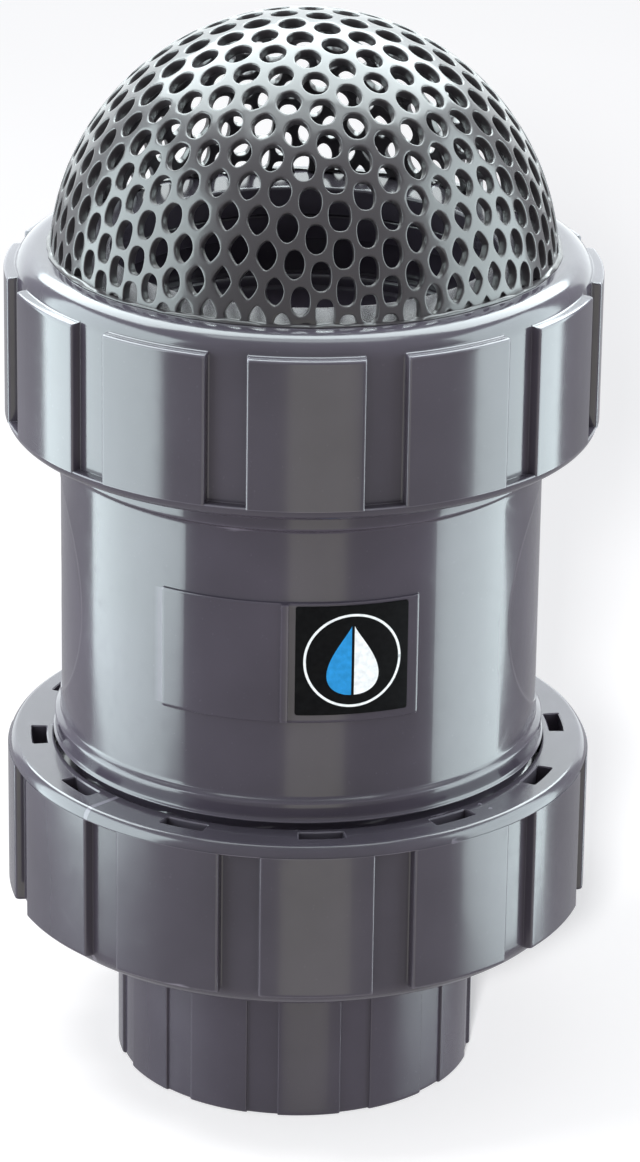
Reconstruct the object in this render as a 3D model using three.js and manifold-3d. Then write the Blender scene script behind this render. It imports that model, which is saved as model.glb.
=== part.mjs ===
// Foot valve, DN50 (2 in) true-union ball check valve with a domed suction screen.
// Millimetres. The end connector's pipe face is at z = 0 and the valve's axis is +Z, screen on top.
import * as THREE from "three";
import { mergeVertices } from "three/addons/utils/BufferGeometryUtils.js";
import Module from "manifold-3d";

const wasm = await Module();
wasm.setup();

const group = new THREE.Group();

// Driving dimensions
const GAP = 0.3; // clearance between touching pieces
const EPS = 0.5; // how far a tool runs past the face it cuts
const ROUND = 32; // facets of the large turned surfaces
const PANELS = 12; // grip panels round each nut and round the hub

const NUT_HEIGHT = 36.8;
const NUT_LIP = 6; // thickness of the nut's closed end
const NUT_HOLE_R = 39; // opening in the closed end
const NUT_PANEL_R = 60.5;
const NUT_GAP_R = 58.4;
const NUT_RIM = 2.2; // plain rim at the open end
const NUT_PANEL_TOP = 33; // the panels stop short of the closed end
const NUT_PANEL_DEG = 22.2;
const NUT_SHOULDER = 4.2; // radius of the rounded edge at the closed end
const NUT_EDGE = 0.6; // bevel at the open end
const NUT_MOUTH_R = 51; // lip before the thread
const NUT_MOUTH_DEPTH = 1.5;
const NUT_THREAD_START = 4.4;
const UPPER_PANEL_TURN = 0.8; // bearing of a panel's middle on the inlet nut
const LOWER_PANEL_TURN = -4.1; // and on the outlet nut, before it is turned over
const INSET = 2; // how far a raised pad's solid reaches into the wall behind it

const POCKET_IN_R = 52.5; // core-out pockets in the nut's open face
const POCKET_OUT_R = 55.5;
const POCKET_WIDTH = 9.3;
const POCKET_DEPTH = 8;
const POCKET_SHIFT_DEG = -1.2; // they sit a little off the panels' middles

const THREAD_PITCH = 6;
const THREAD_TURNS = 3;
const THREAD_STEPS = 32; // facets per turn
const BODY_CREST_R = 50.5;
const BODY_ROOT_R = 48.3;
const NUT_CREST_R = 49;
const NUT_ROOT_R = 51.3;
const BODY_THREAD_START = 1.4; // above the open face of the nut
const RIDGE_ROOT_HALF = 2;
const RIDGE_CREST_HALF = 1;

const HUB_R = 37.5;
const HUB_GROOVE_R = 36.8;
const HUB_EDGE = 0.6;
const HUB_BAND_Z = 34.6; // plain band above the hub's panels
const HUB_PANEL_LOW = 1.2;
const HUB_PANEL_HALF_DEG = 10;
const HUB_PANEL_TURN = 5;
const SOCKET_R = 30.3; // takes a 60.3 mm pipe
const SOCKET_DEPTH = 38.1;
const SOCKET_LEAD = 1.2; // bevel that leads the pipe in
const SOCKET_TAPER = 0.3;
const BORE_R = 25.5;
const FLANGE_R = 48;
const FLANGE_THICK = 5.5;

const NUT_SPACING = 69.1; // length of barrel that shows between the nuts
const LOWER_NUT_Z = 34.6; // closed face of the outlet nut
const FLANGE_Z = LOWER_NUT_Z + NUT_LIP + GAP;
const BODY_Z = FLANGE_Z + FLANGE_THICK + GAP; // lower end face of the body
const MID_Z = LOWER_NUT_Z + NUT_HEIGHT + NUT_SPACING / 2; // middle of the body
const BODY_HALF = MID_Z - BODY_Z;
const BODY_TOP_Z = MID_Z + BODY_HALF;
const UPPER_NUT_Z = MID_Z + NUT_SPACING / 2; // open face of the inlet nut
const UPPER_NUT_TOP = UPPER_NUT_Z + NUT_HEIGHT;

const BARREL_R = 49.5;
const COLLAR_R = 51;
const COLLAR_HALF = 28.5; // half length of the barrel between the two thread collars
const COLLAR_END = 33.3; // where each collar meets its thread
const COLLAR_BEVEL = 1;
const END_BEVEL = 0.8;
const CHAMBER_R = 40;
const CHAMBER_LOW = 68; // below it the chamber narrows in a cone
const CONE_LOW = 58;
const SHOULDER_Z = 146; // ledge that the seat lies on
const RECESS_R = 43.5;
const GROOVE_IN_R = 35.4; // face groove for the outlet seal
const GROOVE_OUT_R = 38.8;
const GROOVE_DEPTH = 2.9;

const BALL_R = 31;
const BALL_Z = 104;
const BALL_CLEAR = 0.3;
const RIBS = 6;
const RIB_WIDTH = 3.6;
const RIB_R = 32.2;
const RIB_FOOT_Z = 66;
const RIB_TOP_Z = SHOULDER_Z - 4;
const RIB_BEVEL = 2;
const RIB_TURN = 30; // bearing of the first rib
const STOP_R = 14.5; // reach of the ribs' feet, which stop the ball

const SEAT_THICK = 4;
const SEAT_LOW_R = 26.8;
const SEAT_BEVEL = 1.3;
const SEAT_Z = SHOULDER_Z + GAP;
const RETAINER_Z = SEAT_Z + SEAT_THICK + GAP;
const RETAINER_TOP = 158;
const RETAINER_R = 43.2;
const RETAINER_BORE_R = 27;
const RETAINER_CONE_R = 30;
const RETAINER_RIM_R = 39.6; // inner edge of the top rim
const RETAINER_RIM = 2.2;
const RETAINER_FOOT = 1.2;
const RETAINER_LUGS = 4; // lugs for the spanner
const LUG_IN_R = 32;
const LUG_WIDTH = 7;
const LUG_DROP = 0.8; // lug tops below the rim
const SEAL_LOW = 1.8; // groove for the retainer's ring
const SEAL_HIGH = 4.8;
const SEAL_DEPTH = 2.3;

const RING_FACETS = 6;
const FACE_RING = { r: 37.1, section: 1.3, z: BODY_Z + 1.3 };
const RETAINER_RING = { r: 42.1, section: 0.85, z: RETAINER_Z + 3.3 };

const CLAMP_IN_R = 40.6;
const CLAMP_Z = BODY_TOP_Z + GAP;

const DOME_R = 51.4;
const DOME_SHEET = 2;
const DOME_CENTRE_Z = 173.6;
const DOME_BASE_Z = UPPER_NUT_TOP + GAP;
const DOME_STEPS = 6; // rows of facets from the base to the crown
const DOME_HOLE_R = 4.8;
const HOLE_FACETS = 6;
const HOLE_DRILL = 14; // length of the tool that cuts each hole
const DOME_RINGS = [
  { polar: 11.5, count: 3 },
  { polar: 29, count: 7 },
  { polar: 46, count: 11 },
  { polar: 63, count: 14 },
  { polar: 79, count: 16 },
];

const MARK_R = 25; // round mould mark on each side of the barrel
const MARK_DEPTH = 0.3;
const MARK_BEARING = 88;
const MARK_FACETS = 20;

const PAD_R = 50.2; // nameplate pad
const PAD = { from: -33, to: 28, low: 94.1, high: 119.6 };
const DIVIDER = { from: -4.2, to: -2.4, low: 94.3, high: 119.4 };
const DIVIDER_RISE = 0.6;
const PAD_FACETS = 8;
const LABEL_R = 50.8;
const LABEL = { from: -0.8, to: 25.2, low: 95.9, high: 119 };

const MATERIALS = {
  pvc_grey: { color: 0x5c5a60, roughness: 0.28, metalness: 0 },
  pvc_ball: { color: 0x77767b, roughness: 0.3, metalness: 0 },
  rubber_black: { color: 0x151515, roughness: 0.75, metalness: 0 },
  label_black: { color: 0x0a0a0a, roughness: 0.35, metalness: 0 },
};

// Solids and meshes

function solid(geometry) {
  geometry.deleteAttribute("normal");
  geometry.deleteAttribute("uv");
  const merged = mergeVertices(geometry, 1e-4);
  return new wasm.Manifold(
    new wasm.Mesh({
      numProp: 3,
      vertProperties: merged.attributes.position.array,
      triVerts: new Uint32Array(merged.index.array),
    }),
  );
}

function addPart(name, body, materialName) {
  const mesh = body.getMesh();
  const geometry = new THREE.BufferGeometry();
  const positions = new THREE.BufferAttribute(new Float32Array(mesh.vertProperties), 3);
  geometry.setAttribute("position", positions);
  geometry.setIndex(new THREE.BufferAttribute(new Uint32Array(mesh.triVerts), 1));
  geometry.computeVertexNormals();
  const part = new THREE.Mesh(geometry, new THREE.MeshStandardMaterial(MATERIALS[materialName]));
  part.name = name;
  group.add(part);
}

// A closed [radius, height] outline, listed anticlockwise, turned round the valve's axis.
function revolve(outline, facets = ROUND) {
  const closed = [...outline, outline[0]].map(([r, z]) => new THREE.Vector2(r, z));
  return solid(new THREE.LatheGeometry(closed, facets).rotateX(Math.PI / 2));
}

function ring(rIn, rOut, z0, z1, facets = ROUND) {
  return revolve([[rIn, z0], [rOut, z0], [rOut, z1], [rIn, z1]], facets);
}

// Angle about the axis in radians; 0 degrees is the front (-Y) and positive turns to +X.
function bearing(degrees) {
  return ((degrees - 90) * Math.PI) / 180;
}

// A piece of a ring between two bearings.
function sector(rIn, rOut, from, to, z0, z1, facets = 3) {
  const shape = new THREE.Shape();
  for (let i = 0; i <= facets; i += 1) {
    const angle = bearing(from + ((to - from) * i) / facets);
    const x = rOut * Math.cos(angle);
    const y = rOut * Math.sin(angle);
    if (i === 0) shape.moveTo(x, y);
    else shape.lineTo(x, y);
  }
  for (let i = facets; i >= 0; i -= 1) {
    const angle = bearing(from + ((to - from) * i) / facets);
    shape.lineTo(rIn * Math.cos(angle), rIn * Math.sin(angle));
  }
  const block = new THREE.ExtrudeGeometry(shape, { depth: z1 - z0, bevelEnabled: false });
  return solid(block.translate(0, 0, z0));
}

// A box that stands off the axis at a bearing: radial depth, tangential width, height.
function block(rIn, rOut, width, z0, z1, degrees) {
  const box = new THREE.BoxGeometry(rOut - rIn, width, z1 - z0);
  box.translate((rIn + rOut) / 2, 0, (z0 + z1) / 2);
  return solid(box.rotateZ(bearing(degrees)));
}

// One right-hand thread ridge. Its centre line starts at bearing +X at startZ and climbs.
function threadRidge(rRoot, rCrest, startZ) {
  const shape = new THREE.Shape();
  const corners = [
    [rRoot, -RIDGE_ROOT_HALF],
    [rCrest, -RIDGE_CREST_HALF],
    [rCrest, RIDGE_CREST_HALF],
    [rRoot, RIDGE_ROOT_HALF],
  ];
  corners.forEach(([r, z], i) => (i === 0 ? shape.moveTo(r, z) : shape.lineTo(r, z)));
  const ridge = new THREE.ExtrudeGeometry(shape, {
    depth: THREAD_TURNS,
    steps: THREAD_TURNS * THREAD_STEPS,
    bevelEnabled: false,
  });
  const points = ridge.attributes.position;
  for (let i = 0; i < points.count; i += 1) {
    const climbed = THREAD_TURNS - points.getZ(i);
    const angle = 2 * Math.PI * climbed;
    const r = points.getX(i);
    const z = startZ + points.getY(i) + THREAD_PITCH * climbed;
    points.setXYZ(i, r * Math.cos(angle), r * Math.sin(angle), z);
  }
  return solid(ridge);
}

// Outline points of a rounded outer corner, from its side up to its top.
function corner(r, z, radius, steps = 3) {
  return Array.from({ length: steps + 1 }, (_, i) => {
    const angle = (i * Math.PI) / 2 / steps;
    return [r + radius * Math.cos(angle), z + radius * Math.sin(angle)];
  });
}

// The union nut, open face at z = 0 and closed face up.
function unionNut(panelBearing) {
  const wall = revolve([
    [NUT_MOUTH_R, 0],
    [NUT_PANEL_R - NUT_EDGE, 0],
    [NUT_PANEL_R, NUT_EDGE],
    [NUT_PANEL_R, NUT_RIM],
    [NUT_GAP_R, NUT_RIM + NUT_EDGE],
    ...corner(NUT_GAP_R - NUT_SHOULDER, NUT_HEIGHT - NUT_SHOULDER, NUT_SHOULDER),
    [NUT_HOLE_R, NUT_HEIGHT],
    [NUT_HOLE_R, NUT_HEIGHT - NUT_LIP],
    [NUT_ROOT_R, NUT_HEIGHT - NUT_LIP],
    [NUT_ROOT_R, NUT_MOUTH_DEPTH + NUT_EDGE],
    [NUT_MOUTH_R, NUT_MOUTH_DEPTH],
  ]);
  const panels = [];
  const pockets = [];
  for (let i = 0; i < PANELS; i += 1) {
    const at = panelBearing + (i * 360) / PANELS;
    const half = NUT_PANEL_DEG / 2;
    const panel = sector(NUT_GAP_R - INSET, NUT_PANEL_R, at - half, at + half, NUT_RIM, NUT_PANEL_TOP);
    panels.push(panel);
    const turn = at + POCKET_SHIFT_DEG;
    pockets.push(block(POCKET_IN_R, POCKET_OUT_R, POCKET_WIDTH, -EPS, POCKET_DEPTH, turn));
  }
  const ridge = threadRidge(NUT_ROOT_R + EPS, NUT_CREST_R, NUT_THREAD_START);
  return wasm.Manifold.union([wall, ...panels, ridge]).subtract(wasm.Manifold.union(pockets));
}

function endConnector() {
  const core = revolve([
    [SOCKET_R + SOCKET_LEAD, 0],
    [HUB_GROOVE_R - HUB_EDGE, 0],
    [HUB_GROOVE_R, HUB_EDGE],
    [HUB_GROOVE_R, HUB_BAND_Z - HUB_EDGE],
    [HUB_R, HUB_BAND_Z],
    [HUB_R, FLANGE_Z],
    [FLANGE_R, FLANGE_Z],
    [FLANGE_R, FLANGE_Z + FLANGE_THICK],
    [BORE_R, FLANGE_Z + FLANGE_THICK],
    [BORE_R, SOCKET_DEPTH],
    [SOCKET_R - SOCKET_TAPER, SOCKET_DEPTH],
    [SOCKET_R, SOCKET_LEAD],
  ]);
  const panels = [];
  for (let i = 0; i < PANELS; i += 1) {
    const at = HUB_PANEL_TURN + (i * 360) / PANELS;
    const from = at - HUB_PANEL_HALF_DEG;
    const to = at + HUB_PANEL_HALF_DEG;
    panels.push(sector(HUB_R - INSET, HUB_R, from, to, HUB_PANEL_LOW, HUB_BAND_Z));
  }
  return wasm.Manifold.union([core, ...panels]);
}

// Guide rib on the chamber wall; its foot runs inwards under the ball as a stop.
function guideRib(degrees) {
  const tangentShift = BALL_Z - Math.SQRT2 * (BALL_R + BALL_CLEAR);
  const shape = new THREE.Shape();
  shape.moveTo(STOP_R, RIB_FOOT_Z);
  shape.lineTo(CHAMBER_R + EPS, RIB_FOOT_Z);
  shape.lineTo(CHAMBER_R + EPS, RIB_TOP_Z);
  shape.lineTo(RIB_R, RIB_TOP_Z - RIB_BEVEL);
  shape.lineTo(RIB_R, RIB_R + tangentShift);
  shape.lineTo(STOP_R, STOP_R + tangentShift);
  const rib = new THREE.ExtrudeGeometry(shape, { depth: RIB_WIDTH, bevelEnabled: false });
  rib.translate(0, 0, -RIB_WIDTH / 2);
  rib.rotateX(Math.PI / 2);
  return solid(rib.rotateZ(bearing(degrees)));
}

// Round mould mark, a shallow recess on the barrel's side.
function sideRecess(degrees) {
  const disc = new THREE.CylinderGeometry(MARK_R, MARK_R, BARREL_R, MARK_FACETS);
  disc.rotateZ(Math.PI / 2);
  disc.translate(BARREL_R, 0, MID_Z);
  disc.rotateZ(bearing(degrees));
  const reach = MARK_R + EPS;
  const shell = ring(BARREL_R - MARK_DEPTH, BARREL_R + EPS, MID_Z - reach, MID_Z + reach);
  return shell.intersect(solid(disc));
}

// A patch of the barrel's front between two bearings and two heights.
function raised(patch, rIn, rOut, facets) {
  return sector(rIn, rOut, patch.from, patch.to, patch.low, patch.high, facets);
}

function valveBody() {
  const end = (side, dz) => MID_Z + side * dz;
  const barrel = revolve([
    [BORE_R, end(-1, BODY_HALF)],
    [BODY_ROOT_R - END_BEVEL, end(-1, BODY_HALF)],
    [BODY_ROOT_R, end(-1, BODY_HALF - END_BEVEL)],
    [BODY_ROOT_R, end(-1, COLLAR_END + COLLAR_BEVEL)],
    [COLLAR_R, end(-1, COLLAR_END)],
    [COLLAR_R, end(-1, COLLAR_HALF + COLLAR_BEVEL)],
    [BARREL_R, end(-1, COLLAR_HALF)],
    [BARREL_R, end(1, COLLAR_HALF)],
    [COLLAR_R, end(1, COLLAR_HALF + COLLAR_BEVEL)],
    [COLLAR_R, end(1, COLLAR_END)],
    [BODY_ROOT_R, end(1, COLLAR_END + COLLAR_BEVEL)],
    [BODY_ROOT_R, end(1, BODY_HALF - END_BEVEL)],
    [BODY_ROOT_R - END_BEVEL, end(1, BODY_HALF)],
    [RECESS_R, end(1, BODY_HALF)],
    [RECESS_R, SHOULDER_Z],
    [CHAMBER_R, SHOULDER_Z],
    [CHAMBER_R, CHAMBER_LOW],
    [BORE_R, CONE_LOW],
  ]);
  const ridgeZ = UPPER_NUT_Z + BODY_THREAD_START;
  const upperRidge = threadRidge(BODY_ROOT_R - EPS, BODY_CREST_R, ridgeZ);
  const lowerRidge = upperRidge.translate([0, 0, -MID_Z]).rotate([180, 0, 0]).translate([0, 0, MID_Z]);
  const plate = raised(PAD, PAD_R - INSET, PAD_R, PAD_FACETS);
  const divider = raised(DIVIDER, PAD_R - INSET, PAD_R + DIVIDER_RISE, 1);
  const ribs = [];
  for (let i = 0; i < RIBS; i += 1) ribs.push(guideRib(RIB_TURN + (i * 360) / RIBS));
  const groove = ring(GROOVE_IN_R, GROOVE_OUT_R, BODY_Z - EPS, BODY_Z + GROOVE_DEPTH);
  return wasm.Manifold.union([barrel, upperRidge, lowerRidge, ...ribs])
    .subtract(sideRecess(MARK_BEARING))
    .subtract(sideRecess(MARK_BEARING - 180))
    .add(plate)
    .add(divider)
    .subtract(groove);
}

function oRing({ r, section, z }) {
  const outline = [];
  for (let i = 0; i < RING_FACETS; i += 1) {
    const angle = (2 * Math.PI * i) / RING_FACETS;
    outline.push([r + section * Math.cos(angle), z + section * Math.sin(angle)]);
  }
  return revolve(outline);
}

function checkBall() {
  const ball = new THREE.SphereGeometry(BALL_R, 20, 12);
  ball.rotateX(Math.PI / 2);
  return solid(ball.translate(0, 0, BALL_Z));
}

function ballSeat() {
  return revolve([
    [SEAT_LOW_R, SEAT_Z],
    [RETAINER_R, SEAT_Z],
    [RETAINER_R, SEAT_Z + SEAT_THICK],
    [BORE_R, SEAT_Z + SEAT_THICK],
    [BORE_R, SEAT_Z + SEAT_BEVEL],
  ]);
}

function seatRetainer() {
  const body = revolve([
    [RETAINER_BORE_R, RETAINER_Z],
    [RETAINER_R, RETAINER_Z],
    [RETAINER_R, RETAINER_Z + SEAL_LOW],
    [RETAINER_R - SEAL_DEPTH, RETAINER_Z + SEAL_LOW],
    [RETAINER_R - SEAL_DEPTH, RETAINER_Z + SEAL_HIGH],
    [RETAINER_R, RETAINER_Z + SEAL_HIGH],
    [RETAINER_R, RETAINER_TOP],
    [RETAINER_RIM_R, RETAINER_TOP],
    [RETAINER_RIM_R, RETAINER_TOP - RETAINER_RIM],
    [RETAINER_CONE_R, RETAINER_Z + 2 * RETAINER_FOOT],
    [RETAINER_BORE_R, RETAINER_Z + RETAINER_FOOT],
  ]);
  const lugs = [];
  for (let i = 0; i < RETAINER_LUGS; i += 1) {
    const at = ((i + 0.5) * 360) / RETAINER_LUGS;
    const low = RETAINER_Z + RETAINER_FOOT / 2;
    lugs.push(block(LUG_IN_R, RETAINER_RIM_R + EPS, LUG_WIDTH, low, RETAINER_TOP - LUG_DROP, at));
  }
  return wasm.Manifold.union([body, ...lugs]);
}

// Takes an end connector flange's place under the inlet nut's lip.
function clampRing() {
  return ring(CLAMP_IN_R, FLANGE_R, CLAMP_Z, CLAMP_Z + FLANGE_THICK);
}

// Outline of the domed sheet: outer face up from the base, inner face back down.
function domeOutline(steps) {
  const outline = [];
  const inner = DOME_R - DOME_SHEET;
  const low = DOME_BASE_Z - DOME_CENTRE_Z;
  const outerStart = Math.asin(low / DOME_R);
  const innerStart = Math.asin(low / inner);
  for (let i = 0; i <= steps; i += 1) {
    const angle = outerStart + ((Math.PI / 2 - outerStart) * i) / steps;
    const r = i === steps ? 0 : DOME_R * Math.cos(angle);
    outline.push(new THREE.Vector2(r, DOME_CENTRE_Z + DOME_R * Math.sin(angle)));
  }
  for (let i = steps; i >= 0; i -= 1) {
    const angle = innerStart + ((Math.PI / 2 - innerStart) * i) / steps;
    const r = i === steps ? 0 : inner * Math.cos(angle);
    outline.push(new THREE.Vector2(r, DOME_CENTRE_Z + inner * Math.sin(angle)));
  }
  return outline;
}

function screenDome() {
  const outline = domeOutline(DOME_STEPS);
  const steps = outline.length / 2;
  const outer = outline.slice(0, steps);
  const inner = outline.slice(steps).reverse();
  const foot = new THREE.Vector2(0, DOME_BASE_Z);
  const cap = (line) => {
    const closed = [foot, ...line];
    return solid(new THREE.LatheGeometry(closed, ROUND).rotateX(Math.PI / 2));
  };
  const low = new THREE.Vector2(inner[0].x, DOME_BASE_Z - EPS);
  const hollow = [new THREE.Vector2(0, DOME_BASE_Z - EPS), low, ...inner];
  const inside = solid(new THREE.LatheGeometry(hollow, ROUND).rotateX(Math.PI / 2));
  const holes = [];
  for (const { polar, count } of DOME_RINGS) {
    for (let i = 0; i < count; i += 1) {
      const hole = new THREE.CylinderGeometry(DOME_HOLE_R, DOME_HOLE_R, HOLE_DRILL, HOLE_FACETS);
      hole.rotateX(Math.PI / 2);
      hole.translate(0, 0, DOME_R);
      hole.rotateX((polar * Math.PI) / 180);
      hole.rotateZ((2 * Math.PI * i) / count);
      holes.push(solid(hole.translate(0, 0, DOME_CENTRE_Z)));
    }
  }
  return cap(outer).subtract(inside).subtract(wasm.Manifold.union(holes));
}

const lowerNut = unionNut(LOWER_PANEL_TURN)
  .rotate([180, 0, 0])
  .translate([0, 0, LOWER_NUT_Z + NUT_HEIGHT]);
const upperNut = unionNut(UPPER_PANEL_TURN).translate([0, 0, UPPER_NUT_Z]);
const sticker = raised(LABEL, PAD_R + GAP, LABEL_R, PAD_FACETS);

addPart("end_connector", endConnector(), "pvc_grey");
addPart("outlet_union_nut", lowerNut, "pvc_grey");
addPart("outlet_face_o_ring", oRing(FACE_RING), "rubber_black");
addPart("valve_body", valveBody(), "pvc_grey");
addPart("check_ball", checkBall(), "pvc_ball");
addPart("ball_seat", ballSeat(), "rubber_black");
addPart("seat_retainer", seatRetainer(), "pvc_grey");
addPart("retainer_o_ring", oRing(RETAINER_RING), "rubber_black");
addPart("inlet_clamp_ring", clampRing(), "pvc_grey");
addPart("inlet_union_nut", upperNut, "pvc_grey");
addPart("screen_dome", screenDome(), "pvc_grey");
addPart("label", sticker, "label_black");

export default group;
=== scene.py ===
"""Looks of the foot valve: fine meshes, procedural materials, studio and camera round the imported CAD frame.

Lengths in this script are millimetres until a mesh is made. A bearing is an angle round the valve's axis
in degrees: 0 is the nameplate's side (-Y), and it grows towards +X.
"""

import math

import bmesh
import bpy
import numpy as np
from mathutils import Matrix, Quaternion, Vector


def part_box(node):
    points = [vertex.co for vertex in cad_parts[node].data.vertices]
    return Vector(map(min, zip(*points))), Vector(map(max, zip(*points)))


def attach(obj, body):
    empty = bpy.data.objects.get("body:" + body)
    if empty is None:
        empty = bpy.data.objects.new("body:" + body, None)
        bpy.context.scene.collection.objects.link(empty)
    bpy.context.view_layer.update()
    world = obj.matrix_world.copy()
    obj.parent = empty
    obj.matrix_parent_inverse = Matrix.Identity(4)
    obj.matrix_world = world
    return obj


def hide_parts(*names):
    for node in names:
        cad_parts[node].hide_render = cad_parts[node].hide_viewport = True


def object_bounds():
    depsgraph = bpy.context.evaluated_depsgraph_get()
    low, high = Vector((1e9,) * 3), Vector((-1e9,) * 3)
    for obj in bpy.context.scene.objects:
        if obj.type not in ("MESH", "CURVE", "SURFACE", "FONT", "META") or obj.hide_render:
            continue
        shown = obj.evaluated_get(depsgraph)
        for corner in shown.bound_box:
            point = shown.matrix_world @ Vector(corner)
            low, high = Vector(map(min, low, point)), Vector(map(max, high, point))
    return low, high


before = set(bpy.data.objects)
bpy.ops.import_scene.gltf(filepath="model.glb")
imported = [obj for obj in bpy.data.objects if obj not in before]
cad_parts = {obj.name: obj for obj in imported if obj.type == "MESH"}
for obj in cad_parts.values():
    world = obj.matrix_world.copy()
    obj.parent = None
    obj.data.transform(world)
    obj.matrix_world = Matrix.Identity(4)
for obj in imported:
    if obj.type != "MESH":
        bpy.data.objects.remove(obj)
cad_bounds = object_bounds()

MM = 0.001


def low(node, axis=2):
    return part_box(node)[0][axis] / MM


def high(node, axis=2):
    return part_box(node)[1][axis] / MM


# Driving sizes, from the frame where it holds them

NUT_R = high("inlet_union_nut", 0)
NUT_HEIGHT = high("inlet_union_nut") - low("inlet_union_nut")
NUT_GROOVE_R = NUT_R - 2.1
NUT_LIP = 6.0
NUT_HOLE_R = 39.0
NUT_RIM = 2.2
NUT_PANEL_TOP = 33.0
NUT_PANEL_HALF = 11.1
NUT_SHOULDER = 5.0
NUT_MOUTH_R = 51.0
NUT_ROOT_R = 51.3
NUT_CREST_R = 49.0
NUT_THREAD_START = 4.4
NUT_PANELS = 12
NUT_SECTOR = 360 / NUT_PANELS
NUT_RIM_SHARE = 0.92
NUT_FILLET = 3.0
NUT_BROW = 0.9
NUT_BROW_TURN = 55
POCKET_IN_R = 52.5
POCKET_OUT_R = 55.5
POCKET_WIDTH = 9.3
POCKET_DEPTH = 8.0
POCKET_SHIFT = -1.2

UPPER_NUT_Z = low("inlet_union_nut")
LOWER_NUT_TOP = high("outlet_union_nut")
UPPER_NUT_TURN = 0.8
LOWER_NUT_TURN = 4.1

BODY_LOW = low("valve_body")
BODY_HIGH = high("valve_body")
MID_Z = (BODY_LOW + BODY_HIGH) / 2
BODY_ROOT_R = 48.3
BODY_CREST_R = 50.5
BODY_THREAD_START = UPPER_NUT_Z + 1.4
BARREL_R = 49.5
COLLAR_R = high("valve_body", 0)
COLLAR_HALF = 28.5
COLLAR_END = 33.3
CHAMBER_R = 40.0
CHAMBER_LOW = 68.0
CONE_LOW = 58.0
BORE_R = 25.5
RECESS_R = 43.5
SEAT_LEDGE = 146.0
RIB_WIDTH = 3.6
RIB_R = 32.2
RIB_FOOT_Z = 66.0
STOP_R = 14.5
RIB_BEARINGS = [30 + 60 * i for i in range(6)]
MARK_R = 25.0
MARK_DEPTH = 0.28
MARK_SPAN = 32
MARK_BEARINGS = (88.0, -92.0)

PAD_FROM, PAD_TO = -33.0, 28.2
PAD_LOW, PAD_HIGH = 94.1, 119.6
PAD_RISE = 0.7
DIVIDER_FROM, DIVIDER_TO = -4.2, -2.4

THREAD_PITCH = 6.0
THREAD_TURNS = 3.0
THREAD_REACH = 2.05
THREAD_RUN_OUT = 0.05
THREAD_ROWS = 0.45

HUB_R = 37.5
HUB_GROOVE = 0.55
HUB_PANELS = 12
HUB_SECTOR = 360 / HUB_PANELS
HUB_PANEL_HALF = 10.0
HUB_PANEL_TOP = 34.6
HUB_FOOT = 0.5
HUB_PANEL_TURN = 5.0
SOCKET_R = 30.3
SOCKET_DEPTH = 38.1
FLANGE_R = 48.0
FLANGE_LOW = 40.9
FLANGE_HIGH = high("end_connector")

RETAINER_RIM_R = 39.6
RETAINER_BORE_R = 27.0
RETAINER_LUG_R = 32.0
RETAINER_LUG_HALF = 3.5
RETAINER_LUG_BEARINGS = [45 + 90 * i for i in range(4)]

DOME_R = 51.4
DOME_SHEET = 2.0
DOME_CENTRE = 173.6
DOME_BASE = low("screen_dome")
DOME_TOP = high("screen_dome") - 0.02
HOLE_PITCH = 7.35
HOLE_ROW_TURN = -17.3
HOLE_ORIGIN = (2.4, 0.2)
HOLE_LONG = 5.75
HOLE_WIDE = 5.15
HOLE_SPREAD = 0.035

LABEL_BEARING = 12.2
LABEL_HALF = 13.0
LABEL_R = 50.5
LABEL_FILM = 0.26
LABEL_CORNER = 0.5
PRINT_CENTRE = -0.1
DROP_HALF_HEIGHT = 7.3
DROP_HALF_WIDTH = 7.0
DROP_GAP = 0.28

# Section of a moulded step: distance inside its edge, and share of its height
EDGE_T = np.array([-0.5, -0.25, -0.05, 0.0, 0.05, 0.17, 0.35, 0.6, 0.9])
EDGE_V = np.array([0.0, 0.0, 0.06, 0.19, 0.76, 0.914, 0.976, 1.0, 1.0])
# Section of a plainer, sharper step
CUT_T = np.array([-0.5, -0.3, -0.04, 0.04, 0.35, 0.6])
CUT_V = np.array([0.0, 0.0, 0.03, 0.97, 1.0, 1.0])


# Meshes


def plateau(x, start, end, steps=EDGE_T, values=EDGE_V):
    """1 between start and end, 0 outside, with a moulded step at each."""
    return np.interp(np.minimum(x - start, end - x), steps, values)


def knots(start, end, steps=EDGE_T):
    return np.concatenate([start + steps, end - steps])


def sorted_columns(*groups, spacing=0.012):
    """Bearings in order, without near duplicates."""
    values = np.sort(np.concatenate([np.asarray(group, float) for group in groups]))
    keep = [values[0]]
    for value in values[1:]:
        if value - keep[-1] > spacing:
            keep.append(value)
    return np.array(keep)


def within(bearings, sector):
    """Bearings measured from the middle of their own sector."""
    return (bearings + sector / 2) % sector - sector / 2


class Turning:
    """A closed section carried round the axis. Each row of the section may vary with the bearing."""

    def __init__(self, bearings):
        self.bearings = np.asarray(bearings, float)
        self.rows = []

    def row(self, r, z, bearings=None):
        n = len(self.bearings)
        own = self.bearings if bearings is None else bearings
        self.rows.append(np.stack([np.broadcast_to(np.asarray(v, float), n) for v in (r, z, own)]))

    def arc(self, r, z, radius, start, end, steps=4):
        for angle in np.radians(np.linspace(start, end, steps + 1)):
            self.row(r + radius * math.cos(angle), z + radius * math.sin(angle))

    def line(self, r0, z0, r1, z1, steps):
        for i in range(steps + 1):
            t = i / steps
            self.row(r0 + (r1 - r0) * t, z0 + (z1 - z0) * t)

    def mesh(self):
        table = np.array(self.rows)
        r, z, angle = table[:, 0], table[:, 1], np.radians(table[:, 2])
        verts = np.stack([r * np.sin(angle), -r * np.cos(angle), z], axis=-1)
        index = np.arange(r.size).reshape(r.shape)
        up = np.roll(index, -1, axis=0)
        faces = np.stack([index, np.roll(index, -1, axis=1), np.roll(up, -1, axis=1), up], axis=-1)
        return verts, faces


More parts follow.
